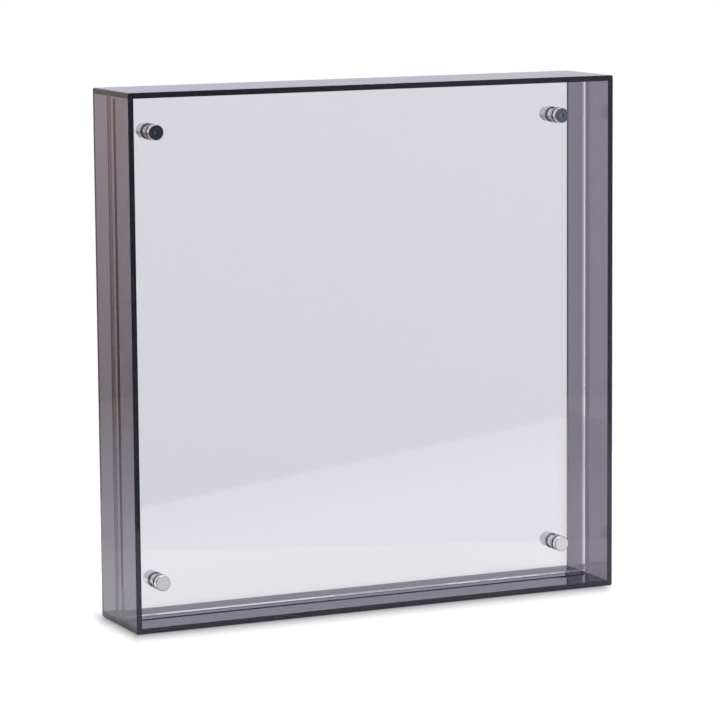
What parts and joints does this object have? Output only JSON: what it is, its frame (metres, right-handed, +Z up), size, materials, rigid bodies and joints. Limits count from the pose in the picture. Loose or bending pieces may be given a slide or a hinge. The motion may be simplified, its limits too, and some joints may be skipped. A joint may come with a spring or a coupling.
{
  "type": "acrylic block frame",
  "caption": "Free-standing square picture block of smoke-grey acrylic walls, with clear panels clamped together by turned screw knobs near the corners.",
  "frame": {"origin": "middle of the bottom face that the block stands on, at mid-width and mid-depth", "axes": "+Z up, +X to the right as the block is looked at from its front, +Y to the back"},
  "size_m": [0.28, 0.05, 0.28],
  "materials": {
    "smoke_acrylic": "polished, transparent smoke grey",
    "clear_acrylic": "polished, clear",
    "turned_steel": "fine turned finish",
    "clear_nylon": "translucent"
  },
  "bodies": {
    "frame": {"bottom_wall": "smoke_acrylic", "top_wall": "smoke_acrylic", "left_wall": "smoke_acrylic", "right_wall": "smoke_acrylic", "rear_panel": "clear_acrylic", "upper_left_post": "turned_steel", "upper_left_rear_washer": "clear_nylon", "upper_right_post": "turned_steel", "upper_right_rear_washer": "clear_nylon", "lower_left_post": "turned_steel", "lower_left_rear_washer": "clear_nylon", "lower_right_post": "turned_steel", "lower_right_rear_washer": "clear_nylon"},
    "front_panel": {"front_panel": "clear_acrylic"},
    "upper_left_washer": {"upper_left_front_washer": "clear_nylon"},
    "upper_left_knob": {"upper_left_knob": "turned_steel"},
    "upper_right_washer": {"upper_right_front_washer": "clear_nylon"},
    "upper_right_knob": {"upper_right_knob": "turned_steel"},
    "lower_left_washer": {"lower_left_front_washer": "clear_nylon"},
    "lower_left_knob": {"lower_left_knob": "turned_steel"},
    "lower_right_washer": {"lower_right_front_washer": "clear_nylon"},
    "lower_right_knob": {"lower_right_knob": "turned_steel"}
  },
  "joints": [
    {"name": "front_panel_lift", "type": "slide", "parent": "frame", "child": "front_panel", "axis": [0, -1, 0], "range_m": [0, 0.04]},
    {"name": "upper_left_knob_travel", "type": "slide", "parent": "front_panel", "child": "upper_left_washer", "axis": [0, -1, 0], "range_m": [0, 0.00595]},
    {"name": "upper_left_knob_turn", "type": "hinge", "parent": "upper_left_washer", "child": "upper_left_knob", "pos_m": [-0.118, -0.002, 0.258], "axis": [0, -1, 0], "range_deg": [0, 3060]},
    {"name": "upper_right_knob_travel", "type": "slide", "parent": "front_panel", "child": "upper_right_washer", "axis": [0, -1, 0], "range_m": [0, 0.00595]},
    {"name": "upper_right_knob_turn", "type": "hinge", "parent": "upper_right_washer", "child": "upper_right_knob", "pos_m": [0.118, -0.002, 0.258], "axis": [0, -1, 0], "range_deg": [0, 3060]},
    {"name": "lower_left_knob_travel", "type": "slide", "parent": "front_panel", "child": "lower_left_washer", "axis": [0, -1, 0], "range_m": [0, 0.00595]},
    {"name": "lower_left_knob_turn", "type": "hinge", "parent": "lower_left_washer", "child": "lower_left_knob", "pos_m": [-0.118, -0.002, 0.022], "axis": [0, -1, 0], "range_deg": [0, 3060]},
    {"name": "lower_right_knob_travel", "type": "slide", "parent": "front_panel", "child": "lower_right_washer", "axis": [0, -1, 0], "range_m": [0, 0.00595]},
    {"name": "lower_right_knob_turn", "type": "hinge", "parent": "lower_right_washer", "child": "lower_right_knob", "pos_m": [0.118, -0.002, 0.022], "axis": [0, -1, 0], "range_deg": [0, 3060]}
  ],
  "couplings": [
    {"joint": "upper_left_knob_turn", "follows": "upper_left_knob_travel", "rad_per_m": 8976},
    {"joint": "upper_right_knob_turn", "follows": "upper_right_knob_travel", "rad_per_m": 8976},
    {"joint": "lower_left_knob_turn", "follows": "lower_left_knob_travel", "rad_per_m": 8976},
    {"joint": "lower_right_knob_turn", "follows": "lower_right_knob_travel", "rad_per_m": 8976}
  ]
}
